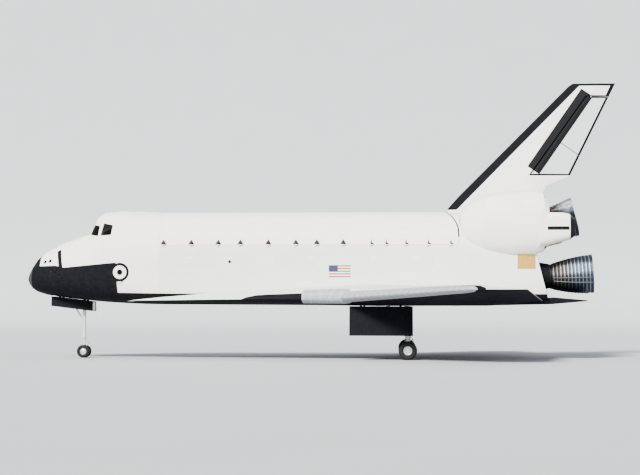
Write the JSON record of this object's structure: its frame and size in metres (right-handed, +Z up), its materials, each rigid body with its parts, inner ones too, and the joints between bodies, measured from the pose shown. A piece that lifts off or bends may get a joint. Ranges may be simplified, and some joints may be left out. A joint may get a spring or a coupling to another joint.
{
  "type": "space shuttle",
  "caption": "Winged delta orbiter with clamshell payload doors, split rudder, elevons, body flap, rocket bells and extended landing gear.",
  "frame": {"origin": "on the ground under the middle of the overall length and span", "axes": "+X aft, the nose points to -X; +Y to starboard; +Z up"},
  "size_m": [37.211, 23.7744, 17.2644],
  "materials": {
    "nose_carbon": "matt grey carbon",
    "thruster_tiles": "matt white tiles",
    "fuselage_tiles": "matt white tiles above, black tiles below",
    "wing_tiles": "matt white above, black tiles below",
    "fin_tiles": "matt white tiles",
    "fabric_blanket": "matt white quilted blanket",
    "belly_tiles": "matt black tiles",
    "edge_carbon": "matt grey carbon",
    "engine_metal": "dark heat-tinted metal",
    "gear_metal": "satin",
    "rim_metal": "satin",
    "tyre_rubber": "matt",
    "cabin_grey": "satin",
    "window_glass": "dark tinted"
  },
  "bodies": {
    "airframe": {"nose_cap": "nose_carbon", "forward_thruster_module": "thruster_tiles", "forward_fuselage_lower": "fuselage_tiles", "forward_fuselage_upper": "fuselage_tiles", "flight_deck": "cabin_grey", "mid_fuselage": "fuselage_tiles", "aft_fuselage": "fuselage_tiles", "fin": "fin_tiles", "nose_leg": "gear_metal", "windshield_front_right": "window_glass", "windshield_front_left": "window_glass", "windshield_middle_right": "window_glass", "windshield_middle_left": "window_glass", "windshield_side_right": "window_glass", "windshield_side_left": "window_glass", "overhead_window_right": "window_glass", "overhead_window_left": "window_glass", "orbital_pod_right": "fabric_blanket", "orbital_engine_bell_right": "engine_metal", "wing_right": "wing_tiles", "wing_leading_edge_right": "edge_carbon", "nose_door_right": "belly_tiles", "main_leg_right": "gear_metal", "main_door_right": "belly_tiles", "orbital_pod_left": "fabric_blanket", "orbital_engine_bell_left": "engine_metal", "wing_left": "wing_tiles", "wing_leading_edge_left": "edge_carbon", "nose_door_left": "belly_tiles", "main_leg_left": "gear_metal", "main_door_left": "belly_tiles", "main_engine_bell_upper": "engine_metal", "main_engine_bell_left": "engine_metal", "main_engine_bell_right": "engine_metal"},
    "payload_door_right": {"payload_door_right": "fabric_blanket"},
    "payload_door_left": {"payload_door_left": "fabric_blanket"},
    "side_hatch": {"side_hatch": "fuselage_tiles", "hatch_window": "window_glass"},
    "body_flap": {"body_flap": "belly_tiles"},
    "rudder_shaft": {"rudder_shaft": "gear_metal"},
    "rudder_right": {"rudder_lower_right": "fin_tiles", "rudder_upper_right": "fin_tiles"},
    "rudder_left": {"rudder_lower_left": "fin_tiles", "rudder_upper_left": "fin_tiles"},
    "nose_fork": {"nose_fork": "gear_metal"},
    "nose_wheel_right": {"nose_wheel_right": "tyre_rubber"},
    "nose_wheel_left": {"nose_wheel_left": "tyre_rubber"},
    "elevon_inboard_right": {"elevon_inboard_right": "wing_tiles"},
    "elevon_outboard_right": {"elevon_outboard_right": "wing_tiles"},
    "main_wheel_inner_right": {"main_tyre_inner_right": "tyre_rubber", "main_rim_inner_right": "rim_metal"},
    "main_wheel_outer_right": {"main_tyre_outer_right": "tyre_rubber", "main_rim_outer_right": "rim_metal"},
    "elevon_inboard_left": {"elevon_inboard_left": "wing_tiles"},
    "elevon_outboard_left": {"elevon_outboard_left": "wing_tiles"},
    "main_wheel_inner_left": {"main_tyre_inner_left": "tyre_rubber", "main_rim_inner_left": "rim_metal"},
    "main_wheel_outer_left": {"main_tyre_outer_left": "tyre_rubber", "main_rim_outer_left": "rim_metal"}
  },
  "joints": [
    {"name": "payload_door_right_open", "type": "hinge", "parent": "airframe", "child": "payload_door_right", "pos_m": [0, 2.68224, 7.03199], "axis": [-1, 0, 0], "range_deg": [0, 175.5]},
    {"name": "payload_door_left_open", "type": "hinge", "parent": "airframe", "child": "payload_door_left", "pos_m": [0, -2.68224, 7.03199], "axis": [1, 0, 0], "range_deg": [0, 175.5]},
    {"name": "side_hatch_open", "type": "hinge", "parent": "airframe", "child": "side_hatch", "pos_m": [-12.3063, -2.55317, 4.81838], "axis": [1, 0, 0], "range_deg": [0, 90]},
    {"name": "elevon_inboard_right_deflect", "type": "hinge", "parent": "airframe", "child": "elevon_inboard_right", "pos_m": [10.6299, 2.667, 3.6068], "axis": [0, 0.9981, 0.061], "range_deg": [-35, 20]},
    {"name": "elevon_outboard_right_deflect", "type": "hinge", "parent": "airframe", "child": "elevon_outboard_right", "pos_m": [10.6299, 2.667, 3.6068], "axis": [0, 0.9981, 0.061], "range_deg": [-35, 20]},
    {"name": "elevon_inboard_left_deflect", "type": "hinge", "parent": "airframe", "child": "elevon_inboard_left", "pos_m": [10.6299, -2.667, 3.6068], "axis": [0, 0.9981, -0.061], "range_deg": [-35, 20]},
    {"name": "elevon_outboard_left_deflect", "type": "hinge", "parent": "airframe", "child": "elevon_outboard_left", "pos_m": [10.6299, -2.667, 3.6068], "axis": [0, 0.9981, -0.061], "range_deg": [-35, 20]},
    {"name": "body_flap_deflect", "type": "hinge", "parent": "airframe", "child": "body_flap", "pos_m": [14.3129, 0, 3.5814], "axis": [0, 1, 0], "range_deg": [-11.7, 22.5]},
    {"name": "rudder_steer", "type": "hinge", "parent": "airframe", "child": "rudder_shaft", "pos_m": [14.98276, 0, 13.6398], "axis": [0.5711, 0, 0.8209], "range_deg": [-22.8, 22.8]},
    {"name": "speed_brake_right", "type": "hinge", "parent": "rudder_shaft", "child": "rudder_right", "pos_m": [14.98276, 0, 13.6398], "axis": [0.5711, 0, 0.8209], "range_deg": [0, 49.3]},
    {"name": "speed_brake_left", "type": "hinge", "parent": "rudder_right", "child": "rudder_left", "pos_m": [14.98276, 0, 13.6398], "axis": [-0.5711, 0, -0.8209], "range_deg": [0, 98.6]},
    {"name": "nose_gear_steer", "type": "hinge", "parent": "airframe", "child": "nose_fork", "pos_m": [-14.9987, 0, 1.4478], "axis": [0, 0, 1], "range_deg": [-9, 9]},
    {"name": "nose_wheel_right_spin", "type": "hinge", "parent": "nose_fork", "child": "nose_wheel_right", "pos_m": [-14.9987, 0.2794, 0.4064], "axis": [0, 1, 0], "continuous": true},
    {"name": "nose_wheel_left_spin", "type": "hinge", "parent": "nose_fork", "child": "nose_wheel_left", "pos_m": [-14.9987, -0.2794, 0.4064], "axis": [0, 1, 0], "continuous": true},
    {"name": "main_wheel_inner_right_spin", "type": "hinge", "parent": "airframe", "child": "main_wheel_inner_right", "pos_m": [5.4991, 3.0734, 0.56515], "axis": [0, 1, 0], "continuous": true},
    {"name": "main_wheel_outer_right_spin", "type": "hinge", "parent": "airframe", "child": "main_wheel_outer_right", "pos_m": [5.4991, 3.8354, 0.56515], "axis": [0, 1, 0], "continuous": true},
    {"name": "main_wheel_inner_left_spin", "type": "hinge", "parent": "airframe", "child": "main_wheel_inner_left", "pos_m": [5.4991, -3.0734, 0.56515], "axis": [0, 1, 0], "continuous": true},
    {"name": "main_wheel_outer_left_spin", "type": "hinge", "parent": "airframe", "child": "main_wheel_outer_left", "pos_m": [5.4991, -3.8354, 0.56515], "axis": [0, 1, 0], "continuous": true}
  ],
  "couplings": [
    {"joint": "speed_brake_right", "follows": "speed_brake_left", "ratio": 0.5}
  ]
}
